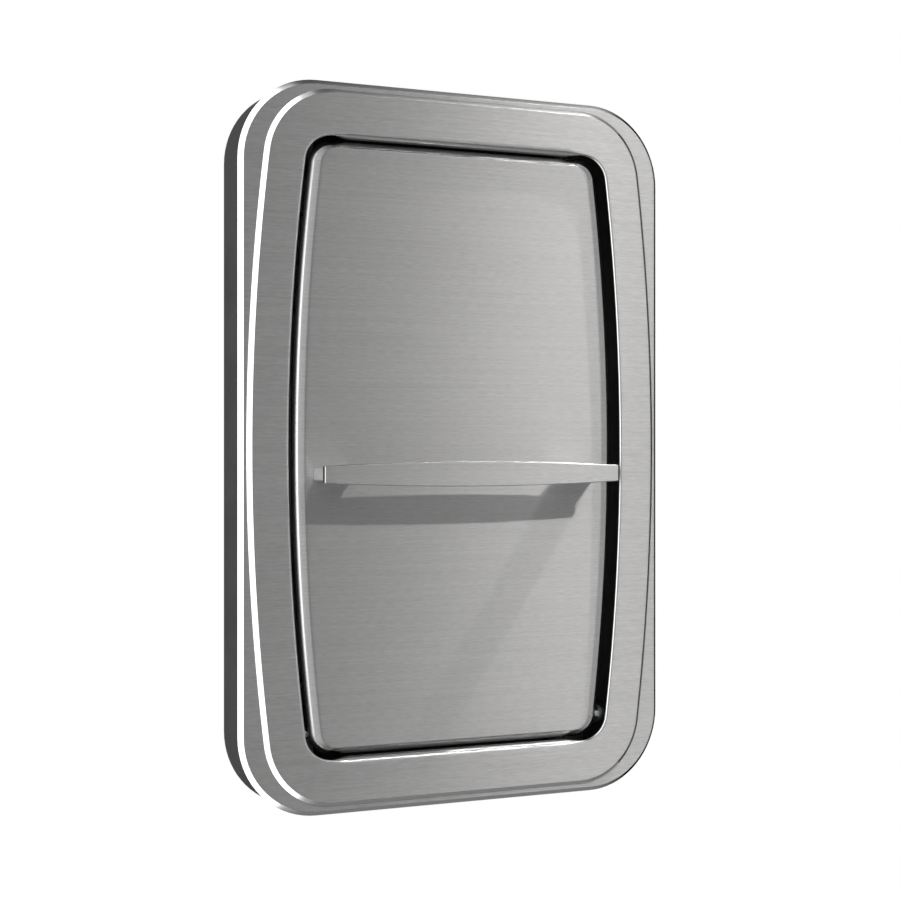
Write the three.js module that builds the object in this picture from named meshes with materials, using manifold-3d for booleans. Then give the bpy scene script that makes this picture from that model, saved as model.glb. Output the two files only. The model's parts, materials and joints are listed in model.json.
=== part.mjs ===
// Wall-hung folding baby changing station: a steel-faced cabinet with a bed that swings down on a rod.
// Millimetres, +Z up, +Y into the wall. The wall is the plane y = 0, and "out" is a distance in front of it.
import * as THREE from 'three';
import { mergeVertices } from 'three/addons/utils/BufferGeometryUtils.js';
import Module from 'manifold-3d';

const wasm = await Module();
wasm.setup();

// Cabinet
const flangeWidth = 615;
const flangeHeight = 930;
const flangeCorner = 106;
const flangeBevel = 6.5;
const sheet = 1.5;
const boxDepth = 63;
const boxInset = 5.5;
const boxWall = 4;
const landingWidth = 14;
const hemWidth = 12;

// Raised surround and the bowed opening in it
const openingSideMargin = 62.2;
const openingEndMargin = 63.6;
const openingCorner = 42;
const openingBow = 2900;
const surroundBorder = 46.6;
const surroundBevel = 6.3;
const surroundStep = 5.5;
const surroundLap = 14;
const lipBend = 9.5;
const lipStraight = 4;
const lipTaper = 20;

// Door
const doorGap = 12;
const doorCorner = 30;
const doorSetback = 7.6;
const doorReturn = 7.4;
const doorBand = 14.8;
const doorBandDrop = 2.2;
const doorEdgeRound = 4;
const doorEndBand = 8;

// Bed tray behind the door
const trayEndMargin = 51.4;
const trayCentre = 5;
const trayCorner = 45;
const trayWall = 4;
const trayRimWidth = 14;
const traySlope = 12;
const trayFloorRound = 8;
const trayFloorGap = 9.9;
const trayRimGap = 2;

// Rails and the hinge
const railSideMargin = 42.1;
const railWidth = 44;
const railCrown = 24;
const railSheet = 2;
const railDepth = 10;
const railOverhang = 37.2;
const boltHole = 9;
const boltSpacing = 300;
const hingeRise = 39.4;
const hingeSetback = 14.4;
const rodDiameter = 12;
const earThickness = 4;
const earOffset = 12.8;
const earRadius = 11;
const earFootHeight = 60;
const clipThickness = 1.5;
const clipDiameter = 20;
const leafWidth = 40;
const leafOffset = 64;
const leafHeight = 31;
const leafThickness = 3;
const knuckleDiameter = 20;

// Gas springs
const springCylinder = 14;
const springRod = 8;
const springEye = 14;
const springEyeWidth = 10;
const springPin = 7;
const springOffset = 3.2;
const springTopOut = 24;
const springTopRise = 262;
const springFootOut = 48;
const springFootRise = 27;
const cylinderLength = 150;
const boreDepth = 62;
const rodLength = 130;
const lugThickness = 5.6;
const lugRadius = 9;

// Handle
const handleLength = 426;
const handleMidHeight = 32.5;
const handleEndHeight = 21.5;
const handleThickness = 8;
const handleStandOff = 43.6;
const handleHeight = -33.5;
const handleBevel = 1.2;
const postWidth = 55;
const postHeight = 16;
const postInset = 6;
const postRound = 3;

// Liner box, catch, straps and hooks
const linerWidth = 220;
const linerBottom = 60;
const linerTop = 260;
const linerDepth = 24;
const linerWall = 2;
const linerSlotWidth = 140;
const linerSlotHeight = 20;
const catchWidth = 44;
const catchHeight = 20;
const magnetDepth = 6;
const strikeThickness = 5;
const strapWidth = 50;
const strapThickness = 2.2;
const strapMargin = 43;
const anchorLength = 22;
const anchorThickness = 5;
const buckleLength = 60;
const buckleBase = 2.5;
const buckleWall = 3;
const buckleRise = 13;
const bucklePin = 5;
const bucklePinOffset = 8;
const leverLength = 33;
const leverThickness = 3.5;
const hookHeight = 70;
const hookWidth = 20;
const hookPlate = 3;
const hookThroat = 12;
const hookBar = 4;
const hookDrop = 30;
const bumperDiameter = 12;
const bumperHeight = 300;

// Clearances
const seat = 0.2;
const running = 0.3;

// Faceting
const sideSteps = 5;
const cornerSteps = 7;
const roundSteps = 20;
const filletSteps = 4;
const swellSteps = 10;

// Widths and heights that follow from the flange. The rails fall on wall studs 406.4 mm apart.
const openingWidth = flangeWidth - 2 * openingSideMargin;
const openingHeight = flangeHeight - 2 * openingEndMargin;
const studSpacing = openingWidth - 2 * railSideMargin;
const railLength = openingHeight + railOverhang;
const earInside = studSpacing / 2 + earOffset;
const springSide = studSpacing / 2 - springOffset;
const leafInside = springSide - leafOffset;
const trayWidth = 2 * springSide - springCylinder;
const trayHeight = openingHeight - 2 * trayEndMargin;
const strapReach = trayWidth / 2 - strapMargin;
const hingeHeight = hingeRise - openingHeight / 2;
const springTopHeight = hingeHeight + springTopRise;
const springFootHeight = hingeHeight + springFootRise;

// Distances in front of the wall that the pieces share
const flangeFace = boxDepth + flangeBevel;
const surroundFace = flangeFace + surroundStep;
const doorFace = surroundFace - doorSetback;
const doorInside = doorFace - sheet;
const doorRear = doorFace - doorReturn;
const railFace = boxWall + railDepth;
const trayRim = railFace + trayRimGap;
const trayFoot = doorInside - seat;
const trayFloor = doorInside - trayFloorGap;
const hingeOut = doorFace - hingeSetback;
const handleRear = doorFace + handleStandOff;
const bedSeat = doorInside - seat;

// Flat stretch on the inside of the door, up to where its ends slope
const doorFlat = openingHeight / 2 - doorGap - doorEndBand - 2 * sheet;
const leafBottom = -doorFlat;
const leafTop = leafBottom + leafHeight;
const catchTop = doorFlat;
const catchBottom = catchTop - catchHeight;

const finishes = {
  steel: { color: 0x9d9c9d, roughness: 0.34, metalness: 1 },
  charcoal: { color: 0x464648, roughness: 0.85, metalness: 0 },
  bedPlastic: { color: 0xb4b6b5, roughness: 0.6, metalness: 0 },
  zinc: { color: 0x8e9294, roughness: 0.45, metalness: 1 },
  black: { color: 0x1b1b1c, roughness: 0.4, metalness: 0 },
  chrome: { color: 0xc8cacc, roughness: 0.12, metalness: 1 },
  rubber: { color: 0x222223, roughness: 0.9, metalness: 0 },
  webbing: { color: 0x33363a, roughness: 0.95, metalness: 0 },
};

const station = new THREE.Group();
const sides = [['left', -1], ['right', 1]];

// Keeps positions only, welds the corners and turns the faces outwards
function closed(geometry) {
  const bare = geometry.clone();
  bare.deleteAttribute('normal');
  bare.deleteAttribute('uv');
  const welded = mergeVertices(bare, 1e-4);
  const a = new THREE.Vector3();
  const b = new THREE.Vector3();
  const c = new THREE.Vector3();
  const index = Array.from(welded.index.array);
  let volume = 0;
  for (let i = 0; i < index.length; i += 3) {
    a.fromBufferAttribute(welded.attributes.position, index[i]);
    b.fromBufferAttribute(welded.attributes.position, index[i + 1]);
    c.fromBufferAttribute(welded.attributes.position, index[i + 2]);
    volume += a.dot(b.cross(c));
  }
  welded.setIndex(volume < 0 ? index.reverse() : index);
  return welded;
}

function toSolid(geometry) {
  const body = closed(geometry);
  const vertProperties = new Float32Array(body.attributes.position.array);
  const triVerts = new Uint32Array(body.index.array);
  return new wasm.Manifold(new wasm.Mesh({ numProp: 3, vertProperties, triVerts }));
}

function fromSolid(solid) {
  const mesh = solid.getMesh();
  const geometry = new THREE.BufferGeometry();
  geometry.setAttribute('position', new THREE.BufferAttribute(new Float32Array(mesh.vertProperties), 3));
  geometry.setIndex(Array.from(mesh.triVerts));
  return geometry;
}

function join(...shapes) {
  return fromSolid(shapes.map(toSolid).reduce((sum, next) => sum.add(next)));
}

function cut(shape, ...tools) {
  return fromSolid(tools.map(toSolid).reduce((rest, tool) => rest.subtract(tool), toSolid(shape)));
}

function piece(name, geometry, finish) {
  const mesh = new THREE.Mesh(closed(geometry), new THREE.MeshStandardMaterial(finishes[finish]));
  mesh.name = name;
  station.add(mesh);
}

// Block between two values on each axis, with y given as distances in front of the wall
function block([x0, x1], [out0, out1], [z0, z1]) {
  const box = new THREE.BoxGeometry(Math.abs(x1 - x0), Math.abs(out1 - out0), Math.abs(z1 - z0));
  return box.translate((x0 + x1) / 2, -(out0 + out1) / 2, (z0 + z1) / 2);
}

// Shape drawn as (out, z), given thickness along X
function extrudeAcross(shape, x0, x1) {
  const body = new THREE.ExtrudeGeometry(shape, { depth: x1 - x0, bevelEnabled: false, curveSegments: roundSteps });
  const axes = new THREE.Matrix4().makeBasis(
    new THREE.Vector3(0, -1, 0), new THREE.Vector3(0, 0, 1), new THREE.Vector3(1, 0, 0));
  return body.applyMatrix4(axes).translate(x0, 0, 0);
}

// Shape drawn as (x, out), given thickness along Z
function extrudeUp(shape, z0, z1) {
  const body = new THREE.ExtrudeGeometry(shape, { depth: z1 - z0, bevelEnabled: false, curveSegments: filletSteps });
  return body.scale(1, -1, 1).translate(0, 0, z0);
}

// Shape drawn as (x, z), given thickness outwards from the wall, with an optional bevel all round
function extrudeOut(shape, out0, out1, bevel = 0, curveSegments = filletSteps) {
  const body = new THREE.ExtrudeGeometry(shape, {
    depth: out1 - out0 - 2 * bevel,
    bevelEnabled: bevel > 0,
    bevelThickness: bevel,
    bevelSize: bevel,
    bevelOffset: -bevel,
    bevelSegments: 1,
    curveSegments,
  });
  return body.rotateX(Math.PI / 2).translate(0, -out0 - bevel, 0);
}

function rodAcross(diameter, x0, x1, out, z) {
  const rod = new THREE.CylinderGeometry(diameter / 2, diameter / 2, Math.abs(x1 - x0), roundSteps);
  return rod.rotateZ(Math.PI / 2).translate((x0 + x1) / 2, -out, z);
}

function mirrored(geometry, sign) {
  return geometry.clone().scale(sign, 1, 1);
}

// Outline symmetric left to right and top to bottom. Its sides bow out on an arc, or are straight without one.
// Each point has its outward normal. Two points near the ends of the straight top and bottom carry lip = 1.
function bowedOutline({ halfWidth, halfHeight, corner, bow = 0, inset = 0 }) {
  const cz = halfHeight - corner;
  const bowCentre = halfWidth - bow;
  const cx = bow ? bowCentre + Math.sqrt((bow - corner) ** 2 - cz ** 2) : halfWidth - corner;
  const lean = bow ? Math.atan2(cz, cx - bowCentre) : 0;
  const quarter = [];
  for (let i = 0; i <= sideSteps; i++) {
    const angle = lean * i / sideSteps;
    const x = bow ? bowCentre + bow * Math.cos(angle) : halfWidth;
    const z = bow ? bow * Math.sin(angle) : cz * i / sideSteps;
    quarter.push({ x, z, nx: Math.cos(angle), nz: Math.sin(angle), lip: 0 });
  }
  for (let i = 1; i <= cornerSteps; i++) {
    const angle = lean + (Math.PI / 2 - lean) * i / cornerSteps;
    const nx = Math.cos(angle);
    const nz = Math.sin(angle);
    quarter.push({ x: cx + corner * nx, z: cz + corner * nz, nx, nz, lip: 0 });
  }
  quarter.push({ x: cx - lipTaper, z: halfHeight, nx: 0, nz: 1, lip: 1 });
  const back = [...quarter].reverse();
  const turn = (points, sx, sz) => points.map(
    (p) => ({ x: p.x * sx, z: p.z * sz, nx: p.nx * sx, nz: p.nz * sz, lip: p.lip }));
  const ring = [...quarter, ...turn(back, -1, 1), ...turn(quarter, -1, -1).slice(1), ...turn(back, 1, -1).slice(0, -1)];
  return ring.map((p) => ({ ...p, x: p.x - p.nx * inset, z: p.z - p.nz * inset }));
}

// Ring of points at one distance from the wall, drawn in from an outline. Both may vary from point to point.
function ringAt(outline, out, inset = 0, height = 0) {
  return outline.map((p) => {
    const inward = typeof inset === 'function' ? inset(p) : inset;
    const distance = typeof out === 'function' ? out(p) : out;
    return new THREE.Vector3(p.x - p.nx * inward, -distance, p.z - p.nz * inward + height);
  });
}

// Surface through rings of equal count: closed on itself as a frame, or capped at both ends
function skin(rings, framed) {
  const count = rings[0].length;
  const faces = [];
  const spans = framed ? rings.length : rings.length - 1;
  for (let r = 0; r < spans; r++) {
    const next = (r + 1) % rings.length;
    for (let i = 0; i < count; i++) {
      const j = (i + 1) % count;
      faces.push(r * count + i, r * count + j, next * count + j);
      faces.push(r * count + i, next * count + j, next * count + i);
    }
  }
  if (!framed) {
    const cap = (ring) => THREE.ShapeUtils.triangulateShape(ring.map((p) => new THREE.Vector2(p.x, p.z)), []);
    const last = (rings.length - 1) * count;
    cap(rings[0]).forEach(([a, b, c]) => faces.push(c, b, a));
    cap(rings[rings.length - 1]).forEach(([a, b, c]) => faces.push(last + a, last + b, last + c));
  }
  const geometry = new THREE.BufferGeometry().setFromPoints(rings.flat());
  geometry.setIndex(faces);
  return geometry;
}

function roundedRectangle(x0, x1, z0, z1, radius) {
  const shape = new THREE.Shape();
  shape.moveTo(x0 + radius, z0);
  shape.lineTo(x1 - radius, z0);
  shape.absarc(x1 - radius, z0 + radius, radius, -Math.PI / 2, 0);
  shape.lineTo(x1, z1 - radius);
  shape.absarc(x1 - radius, z1 - radius, radius, 0, Math.PI / 2);
  shape.lineTo(x0 + radius, z1);
  shape.absarc(x0 + radius, z1 - radius, radius, Math.PI / 2, Math.PI);
  shape.lineTo(x0, z0 + radius);
  shape.absarc(x0 + radius, z0 + radius, radius, Math.PI, 1.5 * Math.PI);
  return shape;
}

const flangeOutline = bowedOutline({ halfWidth: flangeWidth / 2, halfHeight: flangeHeight / 2, corner: flangeCorner });
const openingSize = {
  halfWidth: openingWidth / 2,
  halfHeight: openingHeight / 2,
  corner: openingCorner,
  bow: openingBow,
};
const openingOutline = bowedOutline(openingSize);
const surroundBase = surroundBorder + surroundBevel;
const surroundOutline = bowedOutline({ ...openingSize, inset: -surroundBase });
const doorOutline = bowedOutline({
  halfWidth: openingWidth / 2 - doorGap,
  halfHeight: openingHeight / 2 - doorGap,
  corner: doorCorner,
  bow: openingBow - doorGap,
});
const trayOutline = bowedOutline({
  halfWidth: trayWidth / 2,
  halfHeight: trayHeight / 2,
  corner: trayCorner,
  bow: openingBow - doorGap,
});

// Half width of the tray's bowed side at a height
function trayHalfAt(z) {
  const bow = openingBow - doorGap;
  return trayWidth / 2 - bow + Math.sqrt(bow ** 2 - (z - trayCentre) ** 2);
}

// Bolt holes through a rail and the back of the box behind it
function boltHoles(x, depth) {
  return [-1, 0, 1].map((step) => {
    const hole = new THREE.CylinderGeometry(boltHole / 2, boltHole / 2, 4 * depth, roundSteps);
    return hole.translate(x, 0, step * boltSpacing);
  });
}

// Moulded box that hangs on the wall, with a landing rim for the flange
function makeBackPan() {
  const inner = boxInset + boxWall;
  const shell = skin([
    ringAt(flangeOutline, 0, boxInset),
    ringAt(flangeOutline, boxDepth, boxInset),
    ringAt(flangeOutline, boxDepth, boxInset + landingWidth),
    ringAt(flangeOutline, boxDepth - boxWall, boxInset + landingWidth),
    ringAt(flangeOutline, boxDepth - boxWall, inner),
    ringAt(flangeOutline, boxWall, inner),
  ], false);
  piece('back_pan', cut(shell, ...sides.flatMap(([, sign]) => boltHoles(sign * studSpacing / 2, boxWall))), 'charcoal');
}

// Bevelled steel flange with a hem folded in behind its edge
function makeWallFlange() {
  const mitre = sheet * Math.SQRT2;
  piece('wall_flange', skin([
    ringAt(flangeOutline, boxDepth),
    ringAt(flangeOutline, flangeFace, flangeBevel),
    ringAt(surroundOutline, flangeFace, surroundLap),
    ringAt(surroundOutline, flangeFace - sheet, surroundLap),
    ringAt(flangeOutline, flangeFace - sheet, flangeBevel - sheet + mitre),
    ringAt(flangeOutline, boxDepth + sheet, sheet + mitre),
    ringAt(flangeOutline, boxDepth + sheet, hemWidth),
    ringAt(flangeOutline, boxDepth, hemWidth),
  ], true), 'steel');
}

// Raised surround. Its opening has a plain rounded edge at the sides, and lips rolled in at the top and
// bottom that end in a slanting cut before each corner.
function makeDoorSurround() {
  const edgeRound = sheet;
  const bend = (p) => edgeRound + (lipBend - edgeRound) * p.lip;
  const roll = (angle) => ringAt(
    openingOutline,
    (p) => surroundFace - bend(p) * (1 - Math.cos(angle)),
    (p) => bend(p) * Math.sin(angle));
  const tip = (inner) => ringAt(
    openingOutline,
    (p) => surroundFace - bend(p) - lipStraight * p.lip - running * (1 - p.lip),
    (p) => bend(p) - sheet * inner);
  const under = (angle) => ringAt(
    openingOutline,
    (p) => surroundFace - sheet - (bend(p) - sheet) * (1 - Math.cos(angle)) - running * (1 - p.lip) * angle,
    (p) => (bend(p) - sheet) * Math.sin(angle));
  const eighth = Math.PI / 8;
  const mitre = sheet * Math.SQRT2;
  piece('door_surround', skin([
    ringAt(surroundOutline, flangeFace),
    ringAt(surroundOutline, surroundFace, surroundBevel),
    roll(0),
    roll(eighth),
    roll(2 * eighth),
    roll(3 * eighth),
    roll(4 * eighth),
    tip(0),
    tip(1),
    under(2 * eighth),
    ringAt(openingOutline, surroundFace - sheet, -sheet),
    ringAt(surroundOutline, surroundFace - sheet, surroundBevel - sheet + mitre),
    ringAt(surroundOutline, flangeFace, mitre),
  ], true), 'steel');
}

// Steel door pressed as a shallow pan, with a sloping band down each side
function makeDoorSkin() {
  const bandInset = (p) => doorEndBand + (doorBand - doorEndBand) * Math.abs(p.nx);
  const round = doorEdgeRound;
  const edgeFace = doorFace - doorBandDrop;
  piece('door_skin', skin([
    ringAt(doorOutline, doorInside, (p) => bandInset(p) + sheet),
    ringAt(doorOutline, edgeFace - sheet, round),
    ringAt(doorOutline, edgeFace - round, sheet),
    ringAt(doorOutline, doorRear, sheet),
    ringAt(doorOutline, doorRear),
    ringAt(doorOutline, edgeFace - round),
    ringAt(doorOutline, edgeFace - round * (1 - Math.SQRT1_2), round * (1 - Math.SQRT1_2)),
    ringAt(doorOutline, edgeFace, round),
    ringAt(doorOutline, doorFace, bandInset),
  ], false), 'steel');
}

// Moulded tray with a rolled rim, sloping walls and a flat floor, open behind towards the door
function makeBedTray() {
  const rimRound = trayWall / 2;
  const wallFoot = trayRimWidth + traySlope;
  const floorEdge = wallFoot + trayFloorRound;
  const at = (out, inset) => ringAt(trayOutline, out, inset, trayCentre);
  piece('bed_tray', skin([
    at(trayFloor + trayWall, floorEdge),
    at(trayFloor + trayWall - trayFloorRound / 2, wallFoot - trayWall),
    at(trayRim + trayWall, trayRimWidth - trayWall),
    at(trayRim + trayWall, trayWall),
    at(trayFoot, trayWall),
    at(trayFoot, 0),
    at(trayRim + rimRound, 0),
    at(trayRim, rimRound),
    at(trayRim, trayRimWidth),
    at(trayFloor - trayFloorRound / 2, wallFoot),
    at(trayFloor, floorEdge),
  ], false), 'bedPlastic');
}

// Hat-section rails that carry the station on the wall studs
function makeRails() {
  const half = railWidth / 2;
  const crown = railCrown / 2;
  const foot = boxWall;
  const profile = new THREE.Shape([
    [-half, foot], [-crown + railSheet, foot], [-crown + railSheet, railFace - railSheet],
    [crown - railSheet, railFace - railSheet], [crown - railSheet, foot], [half, foot],
    [half, foot + railSheet], [crown, foot + railSheet], [crown, railFace],
    [-crown, railFace], [-crown, foot + railSheet], [-half, foot + railSheet],
  ].map(([x, out]) => new THREE.Vector2(x, out)));
  for (const [side, sign] of sides) {
    const x = sign * studSpacing / 2;
    const rail = extrudeUp(profile, -railLength / 2, railLength / 2).translate(x, 0, 0);
    piece(`mounting_rail_${side}`, cut(rail, ...boltHoles(x, railFace)), 'zinc');
  }
}

// Plate outline that tapers from a foot to a round eye, drawn as (out, z)
function earShape(footOut, footHalf, eyeOut, eyeHeight, eyeRadius) {
  const direction = Math.sign(eyeOut - footOut);
  const shape = new THREE.Shape();
  shape.moveTo(footOut, eyeHeight + footHalf);
  shape.lineTo(footOut, eyeHeight - footHalf);
  shape.lineTo(eyeOut, eyeHeight - eyeRadius);
  shape.absarc(eyeOut, eyeHeight, eyeRadius, -Math.PI / 2, Math.PI / 2, direction < 0);
  return shape;
}

// Hinge ears on the rails, the rod through them, its clips, and the two leaves on the door
function makeHinge() {
  const footOut = boxWall + railSheet + seat;
  const railEdge = (studSpacing + railWidth) / 2;
  const bore = rodDiameter + 2 * running;
  const outer = earInside + earThickness;
  const rodEnd = outer + running + clipThickness + earThickness;
  for (const [side, sign] of sides) {
    const ear = extrudeAcross(earShape(footOut, earFootHeight / 2, hingeOut, hingeHeight, earRadius), earInside, outer);
    const footZ = [hingeHeight - earFootHeight / 2, hingeHeight + earFootHeight / 2];
    const foot = block([earInside, railEdge], [footOut, footOut + leafThickness], footZ);
    const hole = rodAcross(bore, earInside - 1, outer + 1, hingeOut, hingeHeight);
    piece(`hinge_bracket_${side}`, mirrored(cut(join(ear, foot), hole), sign), 'zinc');

    const clipStart = outer + running;
    const clipEnd = clipStart + clipThickness;
    const clip = cut(
      rodAcross(clipDiameter, clipStart, clipEnd, hingeOut, hingeHeight),
      rodAcross(bore, clipStart - 1, clipEnd + 1, hingeOut, hingeHeight));
    piece(`hinge_rod_clip_${side}`, mirrored(clip, sign), 'zinc');

    const leafX = [leafInside, leafInside + leafWidth];
    const plate = block(leafX, [bedSeat - leafThickness, bedSeat], [leafBottom, leafTop]);
    const web = block(leafX, [hingeOut, bedSeat - leafThickness / 2],
      [hingeHeight - knuckleDiameter / 3, hingeHeight + knuckleDiameter / 3]);
    const knuckle = rodAcross(knuckleDiameter, ...leafX, hingeOut, hingeHeight);
    const through = rodAcross(bore, leafX[0] - 1, leafX[1] + 1, hingeOut, hingeHeight);
    piece(`hinge_leaf_${side}`, mirrored(cut(join(plate, web, knuckle), through), sign), 'zinc');
  }
  piece('hinge_rod', rodAcross(rodDiameter, -rodEnd, rodEnd, hingeOut, hingeHeight), 'chrome');
}

// Gas springs: a pin on the rail, a cylinder that turns on it, a rod that slides out, and a lug on the door
function makeGasSprings() {
  const dropOut = springFootOut - springTopOut;
  const drop = springTopHeight - springFootHeight;
  const reach = Math.hypot(dropOut, drop);
  const lean = -Math.atan2(dropOut, drop);
  const eyeHole = springPin + 2 * running;
  const eyeAt = (distance) => cut(
    rodAcross(springEye, -springEyeWidth / 2, springEyeWidth / 2, 0, -distance),
    rodAcross(eyeHole, -springEyeWidth, springEyeWidth, 0, -distance));
  const turned = (profile) => {
    const points = profile.map(([radius, distance]) => new THREE.Vector2(radius, -distance));
    return new THREE.LatheGeometry(points, roundSteps).rotateX(Math.PI / 2);
  };
  const neck = springEye / 2 - 1;
  const tube = springCylinder / 2;
  const rod = springRod / 2;
  const cylinder = join(eyeAt(0), turned([
    [0, neck], [neck - 1, neck], [tube, neck + 7], [tube, cylinderLength - 3], [tube - 1.5, cylinderLength],
    [rod + running, cylinderLength], [rod + running, cylinderLength - boreDepth], [0, cylinderLength - boreDepth],
  ]));
  const slider = join(eyeAt(reach), turned([
    [0, reach - rodLength], [rod, reach - rodLength], [rod, reach - neck], [0, reach - neck],
  ]));
  for (const [side, sign] of sides) {
    const place = (body) => body.clone().rotateX(lean).translate(sign * springSide, -springTopOut, springTopHeight);
    piece(`gas_cylinder_${side}`, place(cylinder), 'black');
    piece(`gas_rod_${side}`, place(slider), 'chrome');

    const earX = springSide + springEyeWidth / 2 + leafThickness;
    const ear = extrudeAcross(
      earShape(railFace + seat, springEye, springTopOut, springTopHeight, springEye / 2), earX, earX + leafThickness);
    const pin = rodAcross(springPin, springSide - springEyeWidth / 2, earX + 1, springTopOut, springTopHeight);
    piece(`gas_anchor_${side}`, mirrored(join(ear, pin), sign), 'zinc');

    const lugEnd = springSide - springEyeWidth / 2 - 2 * seat;
    const lug = extrudeAcross(
      earShape(bedSeat, lugRadius + 3, springFootOut, springFootHeight, lugRadius), lugEnd - lugThickness, lugEnd);
    piece(`gas_lug_${side}`, mirrored(lug, sign), 'zinc');
  }
}

// Pull handle: a bar that swells towards the middle, on two blade posts
function makeHandle() {
  const half = handleLength / 2;
  const end = handleEndHeight / 2;
  const swell = handleMidHeight - end;
  const bar = new THREE.Shape();
  bar.moveTo(-half, -end);
  bar.quadraticCurveTo(0, -swell, half, -end);
  bar.lineTo(half, end);
  bar.quadraticCurveTo(0, swell, -half, end);
  const body = extrudeOut(bar, handleRear, handleRear + handleThickness, handleBevel, swellSteps);
  piece('handle_bar', body.translate(0, 0, handleHeight), 'steel');
  for (const [side, sign] of sides) {
    const outside = half - postInset;
    const section = roundedRectangle(outside - postWidth, outside, -postHeight / 2, postHeight / 2, postRound);
    const post = extrudeOut(section, doorFace, handleRear).translate(0, 0, handleHeight);
    piece(`handle_post_${side}`, mirrored(post, sign), 'steel');
  }
}

// Liner box on the back wall, with a slotted cover
function makeLinerBox() {
  const half = linerWidth / 2;
  const height = [linerBottom, linerTop];
  const front = boxWall + linerDepth;
  const hollow = block([-half + linerWall, half - linerWall], [boxWall + linerWall, front + 1],
    [linerBottom + linerWall, linerTop - linerWall]);
  piece('liner_box', cut(block([-half, half], [boxWall, front], height), hollow), 'bedPlastic');
  const middle = (linerBottom + linerTop) / 2;
  const cover = roundedRectangle(-half, half, linerBottom, linerTop, 6);
  cover.holes.push(roundedRectangle(-linerSlotWidth / 2, linerSlotWidth / 2,
    middle - linerSlotHeight / 2, middle + linerSlotHeight / 2, linerSlotHeight / 2 - 1));
  piece('liner_cover', extrudeOut(cover, front + seat, front + seat + linerWall), 'bedPlastic');
}

// Magnetic catch at the top and the strike plate it pulls
function makeCatch() {
  const half = catchWidth / 2;
  const height = [catchBottom, catchTop];
  const strikeFace = bedSeat - strikeThickness;
  const magnetFace = strikeFace - running;
  const housing = roundedRectangle(-half, half, ...height, 3);
  piece('catch_housing', extrudeOut(housing, boxWall, magnetFace - magnetDepth, 1), 'charcoal');
  piece('catch_magnet', block([-half + 3, half - 3], [magnetFace - magnetDepth, magnetFace],
    [catchBottom + 3, catchTop - 3]), 'rubber');
  piece('strike_plate', extrudeOut(housing, strikeFace, bedSeat, 1), 'zinc');
}

// Safety strap in two lengths, their anchors on the tray floor, and a cam buckle between them
function makeStraps() {
  const bed = trayFloor - running;
  const halfStrap = strapWidth / 2;
  const halfBuckle = buckleLength / 2;
  const strapZ = [-halfStrap, halfStrap];
  for (const [side, sign] of sides) {
    const anchorStart = strapReach - anchorLength;
    const bridge = roundedRectangle(anchorStart, strapReach, -halfStrap - 6, halfStrap + 6, 4);
    const tunnel = block([anchorStart - 1, strapReach + 1],
      [bed - strapThickness - running, bed + 1], [-halfStrap - running, halfStrap + running]);
    const anchor = cut(extrudeOut(bridge, bed - anchorThickness, bed, 0.8), tunnel);
    piece(`strap_anchor_${side}`, mirrored(anchor, sign), 'zinc');
    const strap = block([halfBuckle + running, strapReach - 3], [bed - strapThickness, bed], strapZ);
    piece(`strap_${side}`, mirrored(strap, sign), 'webbing');
  }
  const wallZ = halfStrap + running;
  const pinOut = bed - buckleRise + bucklePin;
  const cheek = (z) => extrudeUp(roundedRectangle(-halfBuckle + 8, halfBuckle - 4,
    bed - buckleRise, bed - buckleBase / 2, 4), z, z + buckleWall);
  const frame = join(
    block([-halfBuckle, halfBuckle], [bed - buckleBase, bed], [-wallZ - buckleWall, wallZ + buckleWall]),
    cheek(wallZ), cheek(-wallZ - buckleWall));
  const pinLength = 2 * (wallZ + buckleWall) + 2;
  const spindle = (diameter, length) => new THREE.CylinderGeometry(diameter / 2, diameter / 2, length, roundSteps)
    .rotateX(Math.PI / 2).translate(bucklePinOffset, -pinOut, 0);
  const bore = bucklePin + 2 * running;
  piece('buckle_frame', cut(frame, spindle(bore, 2 * pinLength)), 'black');
  piece('buckle_pin', spindle(bucklePin, pinLength), 'chrome');
  const leverHalf = wallZ - running;
  const arm = roundedRectangle(bucklePinOffset - leverLength, bucklePinOffset, -leverHalf, leverHalf, 5);
  const lever = join(
    extrudeOut(arm, pinOut - bucklePin, pinOut - bucklePin + leverThickness),
    spindle(bucklePin * 2, 2 * leverHalf));
  piece('cam_lever', cut(lever, spindle(bore, 2 * pinLength)), 'black');
}

// Bag hooks on the tray's sides, open upwards when the bed is down
function makeHooks() {
  const inside = trayHalfAt(hookHeight - hookWidth / 2) + seat;
  const foot = trayRim + 2 * hookDrop * 2 / 3;
  const tip = inside + hookPlate + hookThroat;
  const profile = new THREE.Shape([
    [inside, foot - hookDrop], [inside + hookPlate, foot - hookDrop], [inside + hookPlate, foot - hookBar],
    [tip, foot - hookBar], [tip, foot - hookDrop * 2 / 3], [tip + hookBar, foot - hookDrop * 2 / 3],
    [tip + hookBar, foot - hookBar], [tip, foot], [inside, foot],
  ].map(([x, out]) => new THREE.Vector2(x, out)));
  for (const [side, sign] of sides) {
    const hook = extrudeUp(profile, hookHeight - hookWidth / 2, hookHeight + hookWidth / 2);
    piece(`bag_hook_${side}`, mirrored(hook, sign), 'zinc');
  }
}

// Rubber bumpers on the back wall that the tray's rim closes against
function makeBumpers() {
  const radius = bumperDiameter / 2;
  const face = trayRim - running;
  const x = trayHalfAt(bumperHeight) - trayRimWidth / 2;
  const profile = [[0, boxWall], [radius, boxWall], [radius, face - 2], [radius - 2, face], [0, face]];
  for (const [side, sign] of sides) {
    const foot = new THREE.LatheGeometry(profile.map(([r, out]) => new THREE.Vector2(r, out)), roundSteps);
    piece(`rest_bumper_${side}`, foot.rotateX(Math.PI).translate(sign * x, 0, bumperHeight), 'rubber');
  }
}

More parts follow.
